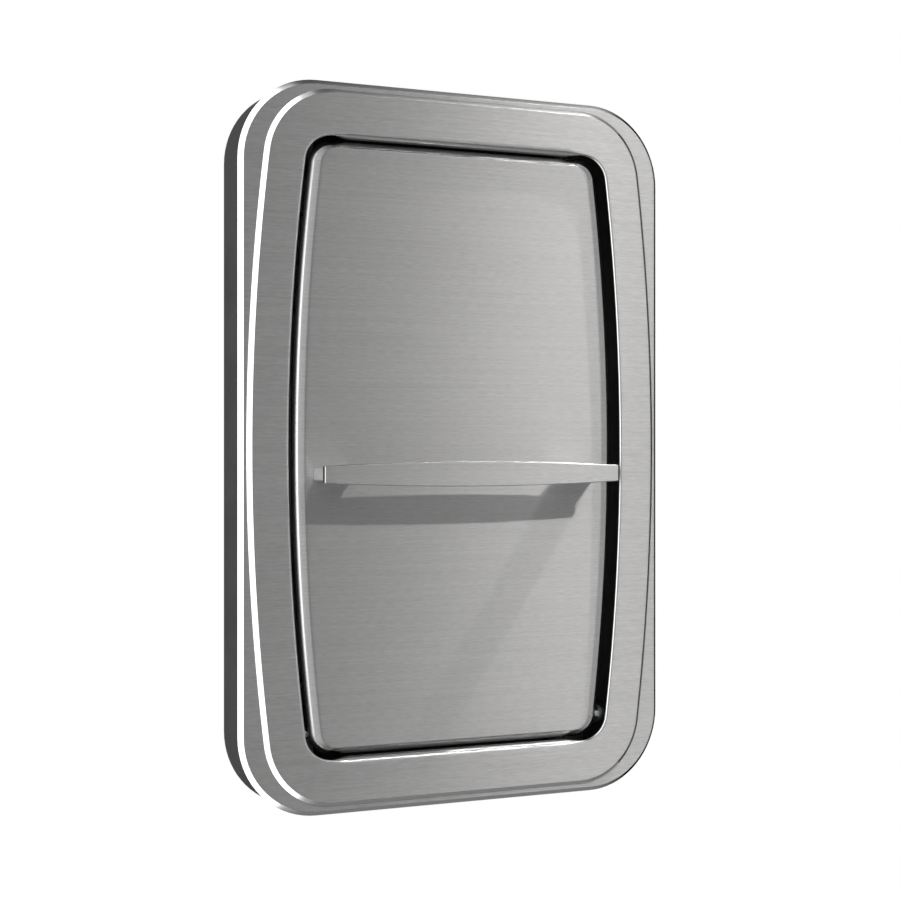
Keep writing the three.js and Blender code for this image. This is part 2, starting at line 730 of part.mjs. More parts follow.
makeBackPan();
makeWallFlange();
makeDoorSurround();
makeDoorSkin();
makeBedTray();
makeRails();
makeHinge();
makeGasSprings();
makeHandle();
makeLinerBox();
makeCatch();
makeStraps();
makeHooks();
makeBumpers();

export default station;
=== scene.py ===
import bpy
import json
import math
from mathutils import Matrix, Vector


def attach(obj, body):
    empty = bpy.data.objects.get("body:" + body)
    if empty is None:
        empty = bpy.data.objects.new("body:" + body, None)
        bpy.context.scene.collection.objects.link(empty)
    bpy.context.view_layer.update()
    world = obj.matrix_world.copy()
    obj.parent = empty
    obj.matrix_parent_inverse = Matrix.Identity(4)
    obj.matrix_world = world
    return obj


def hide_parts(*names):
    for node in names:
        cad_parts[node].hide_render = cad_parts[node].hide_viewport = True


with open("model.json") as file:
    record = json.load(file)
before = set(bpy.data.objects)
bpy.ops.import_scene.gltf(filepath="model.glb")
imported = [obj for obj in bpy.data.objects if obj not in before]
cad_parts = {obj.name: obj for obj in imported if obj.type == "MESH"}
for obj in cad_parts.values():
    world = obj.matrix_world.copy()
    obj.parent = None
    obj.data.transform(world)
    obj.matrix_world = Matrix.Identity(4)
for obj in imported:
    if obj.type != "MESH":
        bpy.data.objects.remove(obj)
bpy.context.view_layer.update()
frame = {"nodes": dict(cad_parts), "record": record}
scene = bpy.context.scene
scene.view_settings.view_transform = "Standard"
mm = 0.001
print("frame loaded:", len(frame["nodes"]), "nodes")

# camera at the photograph's place: level, turned to the right, its lens set for a 900 x 900 frame
cameraSet = {"place": (-1.1647, -2.3237, -0.0029), "turn": -27.03, "lens": 77.64, "sensor": 36.0,
             "clipEnd": 100}


def makeCamera():
    bpy.ops.object.camera_add(location=cameraSet["place"])
    camera = bpy.context.object
    camera.name = "photoCamera"
    camera.rotation_euler = (math.radians(90), 0, math.radians(cameraSet["turn"]))
    camera.data.lens = cameraSet["lens"]
    camera.data.sensor_width = cameraSet["sensor"]
    camera.data.clip_end = cameraSet["clipEnd"]
    scene.camera = camera


def startMaterial(name, colour, roughness, metallic=0.0):
    material = bpy.data.materials.new(name)
    material.use_nodes = True
    shader = material.node_tree.nodes["Principled BSDF"]
    shader.inputs["Base Color"].default_value = (*colour, 1)
    shader.inputs["Roughness"].default_value = roughness
    shader.inputs["Metallic"].default_value = metallic
    return material, material.node_tree, shader


def addNode(tree, kind, **values):
    node = tree.nodes.new(kind)
    for key, value in values.items():
        setattr(node, key, value)
    return node


def addMath(tree, operation, first, second):
    node = addNode(tree, "ShaderNodeMath", operation=operation)
    tree.links.new(first, node.inputs[0])
    tree.links.new(second, node.inputs[1])
    return node.outputs[0]


def addNoise(tree, scale, detail=3.0, roughness=0.55):
    # noise on object coordinates, stretched by scale along each axis
    coords = addNode(tree, "ShaderNodeTexCoord")
    mapping = addNode(tree, "ShaderNodeMapping")
    mapping.inputs["Scale"].default_value = scale
    noise = addNode(tree, "ShaderNodeTexNoise")
    noise.inputs["Scale"].default_value = 1.0
    noise.inputs["Detail"].default_value = detail
    noise.inputs["Roughness"].default_value = roughness
    tree.links.new(coords.outputs["Object"], mapping.inputs["Vector"])
    tree.links.new(mapping.outputs["Vector"], noise.inputs["Vector"])
    return noise.outputs["Fac"]


noiseSpan = (0.25, 0.75)  # most of a noise's values lie between these


def addRange(tree, source, low, high):
    spread = addNode(tree, "ShaderNodeMapRange")
    for key, value in zip(("From Min", "From Max", "To Min", "To Max"), (*noiseSpan, low, high)):
        spread.inputs[key].default_value = value
    tree.links.new(source, spread.inputs["Value"])
    return spread.outputs["Result"]


def addTint(tree, source, dark, light):
    mix = addNode(tree, "ShaderNodeMix", data_type="RGBA")
    mix.inputs[6].default_value = (*dark, 1)
    mix.inputs[7].default_value = (*light, 1)
    tree.links.new(source, mix.inputs[0])
    return mix.outputs[2]


def addBump(tree, shader, source, strength, depth):
    bump = addNode(tree, "ShaderNodeBump")
    bump.inputs["Strength"].default_value = strength
    bump.inputs["Distance"].default_value = depth
    tree.links.new(source, bump.inputs["Height"])
    tree.links.new(bump.outputs["Normal"], shader.inputs["Normal"])


steelGrain = {"fine": (75, 75, 950), "fineDetail": 2.0, "fineShare": 0.65, "broad": (5, 5, 420),
              "broadDetail": 3.0, "broadShare": 0.35, "roughSpread": 0.03, "bump": 0.07, "bumpDepth": 0.0002}


def brushedSteel(name, roughness, anisotropy, lines, metallic, level=0.565):
    # satin stainless with fine level brush lines, which spread its gloss up and down
    material, tree, shader = startMaterial(name, (level, level, level), roughness, metallic)
    shader.inputs["Anisotropic"].default_value = anisotropy
    upright = addNode(tree, "ShaderNodeCombineXYZ")
    upright.inputs["Z"].default_value = 1.0
    follow = addNode(tree, "ShaderNodeVectorTransform", vector_type="VECTOR",
                     convert_from="OBJECT", convert_to="WORLD")
    tree.links.new(upright.outputs[0], follow.inputs[0])
    tree.links.new(follow.outputs[0], shader.inputs["Tangent"])
    fine = addNoise(tree, steelGrain["fine"], steelGrain["fineDetail"])
    broad = addNoise(tree, steelGrain["broad"], steelGrain["broadDetail"])
    blend = addNode(tree, "ShaderNodeMath", operation="MULTIPLY_ADD")
    blend.inputs[1].default_value = steelGrain["broadShare"]
    tree.links.new(broad, blend.inputs[0])
    scaled = addNode(tree, "ShaderNodeMath", operation="MULTIPLY")
    scaled.inputs[1].default_value = steelGrain["fineShare"]
    tree.links.new(fine, scaled.inputs[0])
    tree.links.new(scaled.outputs[0], blend.inputs[2])
    grain = blend.outputs[0]
    dark = (level - lines,) * 3
    light = (level + lines,) * 3
    tree.links.new(addTint(tree, addRange(tree, grain, 0, 1), dark, light), shader.inputs["Base Color"])
    spread = steelGrain["roughSpread"]
    tree.links.new(addRange(tree, grain, roughness - spread, roughness + spread), shader.inputs["Roughness"])
    addBump(tree, shader, grain, steelGrain["bump"], steelGrain["bumpDepth"])
    return material


plasticGrain = {"pebbleDetail": 4.0, "pebbleRoughness": 0.6, "pebbleSpread": (0.4, 1.6), "patch": (14, 14, 14),
                "patchDetail": 2.0, "patchSpread": (0.5, 1.0), "roughSpread": 0.08, "bumpDepth": 0.0006}


def grainedPlastic(name, dark, light, roughness, grain, bump):
    # moulded plastic with a fine pebbled grain
    material, tree, shader = startMaterial(name, light, roughness)
    pebble = addNoise(tree, (grain, grain, grain), plasticGrain["pebbleDetail"],
                      plasticGrain["pebbleRoughness"])
    patch = addNoise(tree, plasticGrain["patch"], plasticGrain["patchDetail"])
    speckle = addMath(tree, "MULTIPLY", addRange(tree, pebble, *plasticGrain["pebbleSpread"]),
                      addRange(tree, patch, *plasticGrain["patchSpread"]))
    tree.links.new(addTint(tree, speckle, dark, light), shader.inputs["Base Color"])
    spread = plasticGrain["roughSpread"]
    tree.links.new(addRange(tree, pebble, roughness - spread, roughness + spread), shader.inputs["Roughness"])
    addBump(tree, shader, pebble, bump, plasticGrain["bumpDepth"])
    return material


plateStreak = {"detail": 3.0, "dark": 0.86, "light": 1.08, "smooth": 0.8, "rough": 1.2}


def platedSteel(name, colour, roughness, metallic, streak):
    # plated or ground steel with faint streaks along its length
    material, tree, shader = startMaterial(name, colour, roughness, metallic)
    streaks = addNoise(tree, streak, plateStreak["detail"])
    dark = tuple(plateStreak["dark"] * value for value in colour)
    light = tuple(min(1.0, plateStreak["light"] * value) for value in colour)
    tree.links.new(addTint(tree, addRange(tree, streaks, 0, 1), dark, light), shader.inputs["Base Color"])
    gloss = addRange(tree, streaks, roughness * plateStreak["smooth"], roughness * plateStreak["rough"])
    tree.links.new(gloss, shader.inputs["Roughness"])
    return material


weaveSet = {"lean": 38.0, "scale": 130, "distortion": 0.4, "base": (0.035, 0.039, 0.045), "roughness": 0.85,
            "dark": (0.016, 0.018, 0.022), "light": (0.062, 0.068, 0.078), "sheen": 0.25, "bump": 0.5,
            "bumpDepth": 0.0004}


def wovenWebbing(name):
    # narrow twill weave, its ribs across the strap
    material, tree, shader = startMaterial(name, weaveSet["base"], weaveSet["roughness"])
    coords = addNode(tree, "ShaderNodeTexCoord")
    weaves = []
    for turn in (math.radians(weaveSet["lean"]), math.radians(-weaveSet["lean"])):
        mapping = addNode(tree, "ShaderNodeMapping")
        mapping.inputs["Rotation"].default_value = (0, turn, 0)
        wave = addNode(tree, "ShaderNodeTexWave", wave_type="BANDS", bands_direction="X")
        wave.inputs["Scale"].default_value = weaveSet["scale"]
        wave.inputs["Distortion"].default_value = weaveSet["distortion"]
        tree.links.new(coords.outputs["Object"], mapping.inputs["Vector"])
        tree.links.new(mapping.outputs["Vector"], wave.inputs["Vector"])
        weaves.append(wave.outputs["Fac"])
    twill = addMath(tree, "MULTIPLY", weaves[0], weaves[1])
    tree.links.new(addTint(tree, twill, weaveSet["dark"], weaveSet["light"]), shader.inputs["Base Color"])
    shader.inputs["Sheen Weight"].default_value = weaveSet["sheen"]
    addBump(tree, shader, twill, weaveSet["bump"], weaveSet["bumpDepth"])
    return material


steel = brushedSteel("brushedSteel", roughness=0.42, anisotropy=1.0, lines=0.10, metallic=0.80)
edgeSteel = brushedSteel("polishedEdge", roughness=0.20, anisotropy=0.0, lines=0.012, metallic=1.0)
# near-black copy of the steel: painted shade for the right-hand bevels, darker than their reflection alone
# makes them
paintedShadeSteel = brushedSteel("paintedShadeEdge", roughness=0.24, anisotropy=0.0, lines=0.010, metallic=1.0, level=0.045)
satinSteel = brushedSteel("satinSteel", roughness=0.36, anisotropy=0.0, lines=0.07, metallic=0.85)
charcoal = grainedPlastic("charcoalMoulding", dark=(0.018, 0.018, 0.019), light=(0.043, 0.043, 0.045),
                          roughness=0.75, grain=700, bump=0.5)
trayGrey = grainedPlastic("trayMoulding", dark=(0.44, 0.45, 0.445), light=(0.50, 0.51, 0.505),
                          roughness=0.48, grain=1400, bump=0.12)
zinc = platedSteel("zincPlate", (0.46, 0.48, 0.49), roughness=0.42, metallic=1.0, streak=(60, 60, 12))
chrome = platedSteel("groundRod", (0.66, 0.67, 0.68), roughness=0.16, metallic=1.0, streak=(400, 12, 12))
blackPaint = grainedPlastic("blackPaint", dark=(0.010, 0.010, 0.011), light=(0.016, 0.016, 0.017),
                            roughness=0.36, grain=2200, bump=0.06)
buckleBlack = grainedPlastic("buckleMoulding", dark=(0.014, 0.014, 0.015), light=(0.022, 0.022, 0.023),
                             roughness=0.44, grain=2600, bump=0.1)
rubber = grainedPlastic("rubber", dark=(0.014, 0.014, 0.015), light=(0.024, 0.024, 0.025),
                        roughness=0.85, grain=1800, bump=0.2)
webbing = wovenWebbing("webbing")
print("materials made")


# outlines shared by the sheet pieces, in millimetres
outlineSteps = {"side": 18, "corner": 18}
cabinetSet = {"halfWidth": 307.5, "halfHeight": 465.0, "corner": 106.0, "bow": 0.0}
openingSet = {"halfWidth": 245.3, "halfHeight": 401.4, "corner": 42.0, "bow": 2900.0, "lipTaper": 20.0}
depthSet = {"box": 63.0, "flange": 69.5, "surround": 75.0, "door": 67.4, "sheet": 1.5, "rearClear": 0.2}


def bowedOutline(size):
    # points (x, z), outward normals and lip share of an outline whose sides bow out on an arc; the lip share
    # is 1 along its straight top and bottom, from a taper in from each corner, and 0 elsewhere
    halfWidth, halfHeight, corner, bow = (size[key] for key in ("halfWidth", "halfHeight", "corner", "bow"))
    taper = size.get("lipTaper", 20.0)
    cornerZ = halfHeight - corner
    bowX = halfWidth - bow
    cornerX = bowX + math.sqrt((bow - corner) ** 2 - cornerZ ** 2) if bow else halfWidth - corner
    lean = math.atan2(cornerZ, cornerX - bowX) if bow else 0.0
    quarter = []
    for i in range(outlineSteps["side"] + 1):
        share = i / outlineSteps["side"]
        angle = lean * share
        x = bowX + bow * math.cos(angle) if bow else halfWidth
        z = bow * math.sin(angle) if bow else cornerZ * share
        quarter.append((x, z, math.cos(angle), math.sin(angle), 0.0))
    for i in range(1, outlineSteps["corner"] + 1):
        angle = lean + (math.pi / 2 - lean) * i / outlineSteps["corner"]
        nx, nz = math.cos(angle), math.sin(angle)
        quarter.append((cornerX + corner * nx, cornerZ + corner * nz, nx, nz, 0.0))
    quarter.append((cornerX - taper, halfHeight, 0.0, 1.0, 1.0))

    def turned(points, sx, sz):
        return [(x * sx, z * sz, nx * sx, nz * sz, lip) for x, z, nx, nz, lip in points]

    back = quarter[::-1]
    return quarter + turned(back, -1, 1) + turned(quarter, -1, -1)[1:] + turned(back, 1, -1)[:-1]


def ringAt(outline, out, inset=0.0, height=0.0):
    # ring at a distance in front of the wall, drawn in from the outline; both may be functions of the point
    ring = []
    for point in outline:
        x, z, nx, nz, lip = point
        inward = inset(point) if callable(inset) else inset
        distance = out(point) if callable(out) else out
        ring.append(Vector(((x - nx * inward) * mm, -distance * mm, (z - nz * inward + height) * mm)))
    return ring


def filleted(profile, steps=4):
    # rounds the corners of a profile of (inset, out, radius) points
    points = [Vector((inset, out)) for inset, out, radius in profile]
    rounded = [points[0]]
    for i in range(1, len(points) - 1):
        radius = profile[i][2]
        before = (points[i - 1] - points[i]).normalized()
        after = (points[i + 1] - points[i]).normalized()
        half = before.angle(after) / 2
        if radius <= 0 or half > 1.56:  # a sharp corner, or nearly no corner
            rounded.append(points[i])
            continue
        reach = radius / math.tan(half)
        centre = points[i] + (before + after).normalized() * (radius / math.sin(half))
        start = points[i] + before * reach - centre
        end = points[i] + after * reach - centre
        for k in range(steps + 1):
            spoke = start.lerp(end, k / steps)
            rounded.append(centre + spoke.normalized() * radius)
    rounded.append(points[-1])
    return rounded


def skinRings(name, rings, closedSection):
    # one surface through rings of equal count, closed as a frame or filled at both ends
    count = len(rings[0])
    spans = len(rings) if closedSection else len(rings) - 1
    faces = []
    for r in range(spans):
        near = r * count
        far = (r + 1) % len(rings) * count
        for i in range(count):
            j = (i + 1) % count
            faces.append((near + i, near + j, far + j, far + i))
    if not closedSection:
        faces.append(tuple(range(count)))
        faces.append(tuple(range((len(rings) - 1) * count, len(rings) * count)))
    mesh = bpy.data.meshes.new(name)
    mesh.from_pydata([point for ring in rings for point in ring], [], faces)
    piece = bpy.data.objects.new(name, mesh)
    scene.collection.objects.link(piece)
    tidyMesh(piece)
    return piece


def selectOnly(piece):
    bpy.ops.object.select_all(action="DESELECT")
    piece.select_set(True)
    bpy.context.view_layer.objects.active = piece


def tidyMesh(piece, angle=32):
    selectOnly(piece)
    bpy.ops.object.mode_set(mode="EDIT")
    bpy.ops.mesh.select_all(action="SELECT")
    bpy.ops.mesh.remove_doubles(threshold=0.01 * mm)
    bpy.ops.mesh.normals_make_consistent(inside=False)
    bpy.ops.object.mode_set(mode="OBJECT")
    bpy.ops.object.shade_smooth_by_angle(angle=math.radians(angle))


def applyModifier(piece, kind, **values):
    selectOnly(piece)
    modifier = piece.modifiers.new(kind.lower(), kind)
    for key, value in values.items():
        setattr(modifier, key, value)
    bpy.ops.object.modifier_apply(modifier=modifier.name)


def placePiece(piece, body, slot, material, *nodes):
    piece.data.materials.clear()
    piece.data.materials.append(material)
    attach(piece, body)
    if nodes:
        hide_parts(*nodes)


def giveEdges(piece, material, isEdge):
    # another material on the faces that the test picks
    piece.data.materials.append(material)
    for face in piece.data.polygons:
        if isEdge(face):
            face.material_index = len(piece.data.materials) - 1


backSet = {"sideways": 0.36, "forward": (-0.93, -0.2), "beyond": 240.0}


def looksBack(face):
    # the bevels on the right, which look back at the room's dark side; they also take the near-black steel
    # copy, whose dark colour is painted shade
    low, high = backSet["forward"]
    turned = face.normal.x > backSet["sideways"] and low < face.normal.y < high
    return turned and face.center.x > backSet["beyond"] * mm


cabinetOutline = bowedOutline(cabinetSet)
openingOutline = bowedOutline(openingSet)


def grown(size, border):
    bigger = dict(size)
    for key in ("halfWidth", "halfHeight", "corner", "bow"):
        if size[key]:
            bigger[key] = size[key] + border
    return bigger


# moulded box behind the flange
boxSet = {"inset": 5.5, "wall": 4.0, "landing": 14.0, "backRound": 2.5, "rimRound": 0.6, "innerRound": 1.5,
          "floorRound": 3.0, "backStart": 12.0, "floorStart": 14.0, "holeRadius": 4.5, "holeStep": 300.0,
          "holeX": 203.2, "holeSides": 32, "drillLength": 30.0}


def makeBox():
    near = boxSet["inset"]
    inner = near + boxSet["wall"]
    landing = near + boxSet["landing"]
    rim = depthSet["box"]
    wall, rimRound = boxSet["wall"], boxSet["rimRound"]
    profile = filleted([
        (near + boxSet["backStart"], 0, 0), (near, 0, boxSet["backRound"]), (near, rim, rimRound),
        (landing, rim, rimRound), (landing, rim - wall, rimRound), (inner, rim - wall, boxSet["innerRound"]),
        (inner, wall, boxSet["floorRound"]), (inner + boxSet["floorStart"], wall, 0)])
    box = skinRings("boxShell", [ringAt(cabinetOutline, out, inset) for inset, out in profile], False)
    for side in (-1, 1):
        for step in (-1, 0, 1):
            place = (side * boxSet["holeX"] * mm, 0, step * boxSet["holeStep"] * mm)
            bpy.ops.mesh.primitive_cylinder_add(vertices=boxSet["holeSides"], radius=boxSet["holeRadius"] * mm,
                                                depth=boxSet["drillLength"] * mm, location=place,
                                                rotation=(math.pi / 2, 0, 0))
            drill = bpy.context.object
            applyModifier(box, "BOOLEAN", object=drill, operation="DIFFERENCE", solver="EXACT")
            bpy.data.objects.remove(drill)
    tidyMesh(box)
    placePiece(box, "cabinet", "charcoal_plastic", charcoal, "back_pan")


# stainless flange with its bevelled edge
flangeSet = {"bevel": 6.5, "hem": 12.0, "footRound": 0.35, "edgeRound": 0.6, "faceStart": 2.6, "lap": 14.0,
             "border": 52.9, "edgeFacing": 0.9}


def makeFlange():
    sheet = depthSet["sheet"]
    rear, face, bevel = depthSet["box"], depthSet["flange"], flangeSet["bevel"]
    mitre = sheet * math.sqrt(2)
    lapOutline = bowedOutline(grown(openingSet, flangeSet["border"] - flangeSet["lap"]))
    outside = filleted([(flangeSet["hem"], rear, 0), (0, rear, flangeSet["footRound"]),
                        (bevel, face, flangeSet["edgeRound"]), (bevel + flangeSet["faceStart"], face, 0)])
    rings = [ringAt(cabinetOutline, out, inset) for inset, out in outside]
    rings += [ringAt(lapOutline, face), ringAt(lapOutline, face - sheet)]
    rings += [ringAt(cabinetOutline, face - sheet, bevel - sheet + mitre),
              ringAt(cabinetOutline, rear + sheet, sheet + mitre),
              ringAt(cabinetOutline, rear + sheet, flangeSet["hem"])]
    flange = skinRings("flangePlate", rings, True)
    placePiece(flange, "cabinet", "brushed_steel", steel, "wall_flange")
    giveEdges(flange, edgeSteel, lambda f: abs(f.normal.y) < flangeSet["edgeFacing"]
              and f.center.y < -(rear + depthSet["rearClear"]) * mm)
    # painted shade: the flange's right-hand bevels take the near-black steel copy
    giveEdges(flange, paintedShadeSteel, looksBack)


# raised surround with rolled lips at the top and bottom of its opening
surroundSet = {"border": 52.9, "bevel": 6.3, "edgeRound": 0.6, "lipBend": 9.5, "lipStraight": 4.0,
               "sideBend": 2.4, "sideStraight": 1.0, "rollSteps": 8, "cornerDrop": 4.5, "footRound": 0.3,
               "faceStart": 2.4, "rollStart": 2.0, "lipBack": 1.3, "sideBack": 0.2, "edgeFacing": 0.93}


def makeSurround():
    sheet = depthSet["sheet"]
    foot, face, bevel = depthSet["flange"], depthSet["surround"], surroundSet["bevel"]
    mitre = sheet * math.sqrt(2)
    baseOutline = bowedOutline(grown(openingSet, surroundSet["border"]))

    def bend(point):
        return surroundSet["sideBend"] + (surroundSet["lipBend"] - surroundSet["sideBend"]) * point[4]

    def drop(point):
        # the plain corners are cut a little inside the line where the lips start to roll
        return surroundSet["cornerDrop"] * (1 - point[4]) * point[3] ** 2

    def roll(angle):
        return ringAt(openingOutline, lambda p: face - bend(p) * (1 - math.cos(angle)),
                      lambda p: drop(p) + bend(p) * math.sin(angle))

    def lipEnd(point):
        lip, side = surroundSet["lipStraight"] * point[4], surroundSet["sideStraight"] * (1 - point[4])
        return face - bend(point) - lip - side

    outside = filleted([(mitre, foot, 0), (0, foot, surroundSet["footRound"]),
                        (bevel, face, surroundSet["edgeRound"]), (bevel + surroundSet["faceStart"], face, 0)])
    rings = [ringAt(baseOutline, out, inset) for inset, out in outside]
    rings.append(ringAt(openingOutline, face, lambda p: drop(p) - surroundSet["rollStart"]))
    steps = surroundSet["rollSteps"]
    rings += [roll(math.pi / 2 * i / steps) for i in range(steps + 1)]
    rings.append(ringAt(openingOutline, lipEnd, lambda p: drop(p) + bend(p)))
    rings.append(ringAt(openingOutline, lipEnd, lambda p: drop(p) + bend(p) - sheet))
    rings.append(ringAt(openingOutline, lambda p: face - bend(p) - surroundSet["sideBack"] * (1 - p[4]),
                        lambda p: drop(p) + bend(p) - surroundSet["lipBack"] * sheet))
    rings.append(ringAt(openingOutline, face - sheet, lambda p: drop(p) - sheet))
    rings.append(ringAt(baseOutline, face - sheet, bevel - sheet + mitre))
    surround = skinRings("surroundPlate", rings, True)
    placePiece(surround, "cabinet", "brushed_steel", steel, "door_surround")
    giveEdges(surround, edgeSteel, lambda f: abs(f.normal.y) < surroundSet["edgeFacing"])
    # painted shade: the surround's right-hand bevels take the near-black steel copy
    giveEdges(surround, paintedShadeSteel, looksBack)


# door pressed as a shallow pan, with a sloping band down each side that runs through to its ends
doorSet = {"gap": 12.0, "corner": 30.0, "returnDepth": 7.4, "band": 14.8, "bandDrop": 1.8, "edge": 6.2,
           "edgeDepth": 4.9, "endBand": 9.0, "creaseCorner": 25.0, "footRound": 0.7, "edgeRound": 1.6,
           "edgeFacing": 0.975, "bandShares": (0.15, 0.85, 1.0), "bandRise": 1.08, "bandLead": (3.0, 0.6),
           "faceIn": (3.0, 2.0), "backIn": (4.0, 3.0)}


def makeDoor():
    sheet, face = depthSet["sheet"], depthSet["door"]
    gap = doorSet["gap"]
    size = {"halfWidth": openingSet["halfWidth"] - gap, "halfHeight": openingSet["halfHeight"] - gap,
            "corner": doorSet["corner"], "bow": openingSet["bow"] - gap}
    outline = bowedOutline(size)
    edgeFace = face - doorSet["bandDrop"]
    edge = doorSet["edge"]
    rear = face - doorSet["returnDepth"]

    def faceRing(sideInset, endInset, out):
        # the band's crease: an arc down each side, turned on a small corner near the ends
        crease = {"halfWidth": size["halfWidth"] - sideInset, "halfHeight": size["halfHeight"] - endInset,
                  "corner": doorSet["creaseCorner"] + edge - endInset, "bow": size["bow"] - sideInset}
        return ringAt(bowedOutline(crease), out)

    band, endBand = doorSet["band"], doorSet["endBand"]
    sideIn, endIn = doorSet["backIn"]
    rings = [faceRing(band + sideIn, endBand + endIn, face - sheet),
             ringAt(outline, edgeFace - sheet, edge),
             ringAt(outline, edgeFace - doorSet["edgeDepth"] - depthSet["rearClear"], sheet),
             ringAt(outline, rear, sheet),
             ringAt(outline, rear, 0)]
    leadIn, leadOut = doorSet["bandLead"]
    chamfer = filleted([(0, rear, 0), (0, edgeFace - doorSet["edgeDepth"], doorSet["footRound"]),
                        (edge, edgeFace, doorSet["edgeRound"]), (edge + leadIn, edgeFace + leadOut, 0)], 5)
    rings += [ringAt(outline, out, inset) for inset, out in chamfer[1:-1]]
    for share in doorSet["bandShares"]:
        lift = edgeFace + doorSet["bandDrop"] * min(1.0, share * doorSet["bandRise"])
        rings.append(faceRing(edge + (band - edge) * share, edge + (endBand - edge) * share, lift))
    sideIn, endIn = doorSet["faceIn"]
    rings.append(faceRing(band + sideIn, endBand + endIn, face))
    door = skinRings("doorPanel", rings, False)
    placePiece(door, "bed", "brushed_steel", steel, "door_skin")
    giveEdges(door, edgeSteel, lambda f: f.normal.y > -doorSet["edgeFacing"]
              and f.center.y < -(rear + depthSet["rearClear"]) * mm)


# pull handle: a bar that swells towards the middle, on two blade posts
handleSet = {"half": 213.0, "midHeight": 32.5, "endHeight": 21.5, "thickness": 8.0, "rear": 111.0,
             "level": -33.5, "bevel": 1.4, "cuts": 24, "postWidth": 55.0, "postHeight": 16.0,
             "postInset": 6.0, "postRound": 3.0, "edgeFacing": 0.95}


def makeHandle():
    half, level = handleSet["half"], handleSet["level"]
    middle = -(handleSet["rear"] + handleSet["thickness"] / 2)
    bpy.ops.object.select_all(action="DESELECT")
    bpy.ops.mesh.primitive_cube_add(size=1, location=(0, 0, 0))
    bar = bpy.context.object
    bar.name = "handleBar"
    for vertex in bar.data.vertices:
        vertex.co = Vector((vertex.co.x * 2 * half, vertex.co.y * handleSet["thickness"] + middle,
                            vertex.co.z * handleSet["midHeight"] + level)) * mm
    bpy.ops.object.mode_set(mode="EDIT")
    for i in range(1, handleSet["cuts"]):
        bpy.ops.mesh.select_all(action="SELECT")
        cutX = (2 * i / handleSet["cuts"] - 1) * half * mm
        bpy.ops.mesh.bisect(plane_co=(cutX, 0, 0), plane_no=(1, 0, 0))
    bpy.ops.object.mode_set(mode="OBJECT")
    for vertex in bar.data.vertices:
        share = vertex.co.x / (half * mm)
        swell = handleSet["midHeight"] - handleSet["endHeight"]
        tall = handleSet["endHeight"] + swell * (1 - share * share)
        vertex.co.z = (level + math.copysign(tall / 2, vertex.co.z / mm - level)) * mm
    applyModifier(bar, "BEVEL", width=handleSet["bevel"] * mm, segments=4, limit_method="ANGLE",
                  angle_limit=math.radians(50))
    tidyMesh(bar, 60)
    applyModifier(bar, "WEIGHTED_NORMAL", weight=100, keep_sharp=True)
    placePiece(bar, "bed", "brushed_steel", steel, "handle_bar")
    giveEdges(bar, edgeSteel, lambda f: abs(f.normal.y) < handleSet["edgeFacing"])
    postX = half - handleSet["postInset"] - handleSet["postWidth"] / 2
    postOut = (depthSet["door"] + handleSet["rear"]) / 2
    reach = handleSet["rear"] - depthSet["door"]
    for name, side in (("Left", -1), ("Right", 1)):
        centre = Vector((side * postX, -postOut, level))
        bpy.ops.object.select_all(action="DESELECT")
        bpy.ops.mesh.primitive_cube_add(size=1, location=(0, 0, 0))
        post = bpy.context.object
        post.name = "handlePost" + name
        for vertex in post.data.vertices:
            vertex.co = (centre + Vector((vertex.co.x * handleSet["postWidth"], vertex.co.y * reach,
                                          vertex.co.z * handleSet["postHeight"]))) * mm
        bpy.ops.object.mode_set(mode="EDIT")
        bpy.ops.mesh.select_all(action="DESELECT")
        bpy.ops.object.mode_set(mode="OBJECT")
        for line in post.data.edges:
            a, b = (post.data.vertices[i].co for i in line.vertices)
            line.select = abs(a.y - b.y) > reach / 2 * mm  # those that run out from the door
        bpy.ops.object.mode_set(mode="EDIT")
        bpy.ops.mesh.select_mode(type="EDGE")
        bpy.ops.mesh.bevel(offset=handleSet["postRound"] * mm, segments=6)
        bpy.ops.object.mode_set(mode="OBJECT")
        tidyMesh(post, 40)
        applyModifier(post, "WEIGHTED_NORMAL", weight=100, keep_sharp=True)
        placePiece(post, "bed", "brushed_steel", satinSteel, "handle_post_" + name.lower())


# moulded tray: rolled rim, sloping walls and a flat floor
traySet = {"halfWidth": 193.0, "halfHeight": 350.0, "corner": 45.0, "bow": 2888.0, "centre": 5.0, "wall": 4.0,
           "rim": 16.0, "rimWidth": 14.0, "slope": 12.0, "floor": 56.0, "foot": 65.7, "underRound": 8.0,
           "innerRound": 4.0, "outerRound": 2.6, "floorRound": 14.0, "floorStart": 15.0, "floorEase": 2.0,
           "underEase": 1.0, "slopeRound": 1.5, "skirtRound": 1.0, "footRound": 0.5}


def makeTray():
    outline = bowedOutline(traySet)
    wall, rim, floor, foot = (traySet[key] for key in ("wall", "rim", "floor", "foot"))
    wallFoot = traySet["rimWidth"] + traySet["slope"]
    rimWidth, floorStart = traySet["rimWidth"], traySet["floorStart"]
    underFoot, footRound = wallFoot - traySet["underEase"], traySet["footRound"]
    profile = filleted([
        (underFoot + floorStart, floor + wall, 0), (underFoot, floor + wall, traySet["underRound"]),
        (rimWidth - wall, rim + wall, traySet["slopeRound"]), (wall, rim + wall, traySet["skirtRound"]),
        (wall, foot, footRound), (0, foot, footRound), (0, rim, traySet["outerRound"]),
        (rimWidth, rim, traySet["innerRound"]), (wallFoot + traySet["floorEase"], floor, traySet["floorRound"]),
        (wallFoot + floorStart, floor, 0)], 6)
    rings = [ringAt(outline, out, inset, traySet["centre"]) for inset, out in profile]
    tray = skinRings("trayShell", rings, False)
    placePiece(tray, "bed", "bed_plastic", trayGrey, "bed_tray")


# safety strap in two lengths, lying on the tray floor
strapSet = {"width": 50.0, "thickness": 2.0, "weave": 1.6, "crown": 0.25, "lift": 0.3, "start": 30.3,
            "end": 147.0, "floor": 55.7, "cuts": 40, "crossCuts": 12}


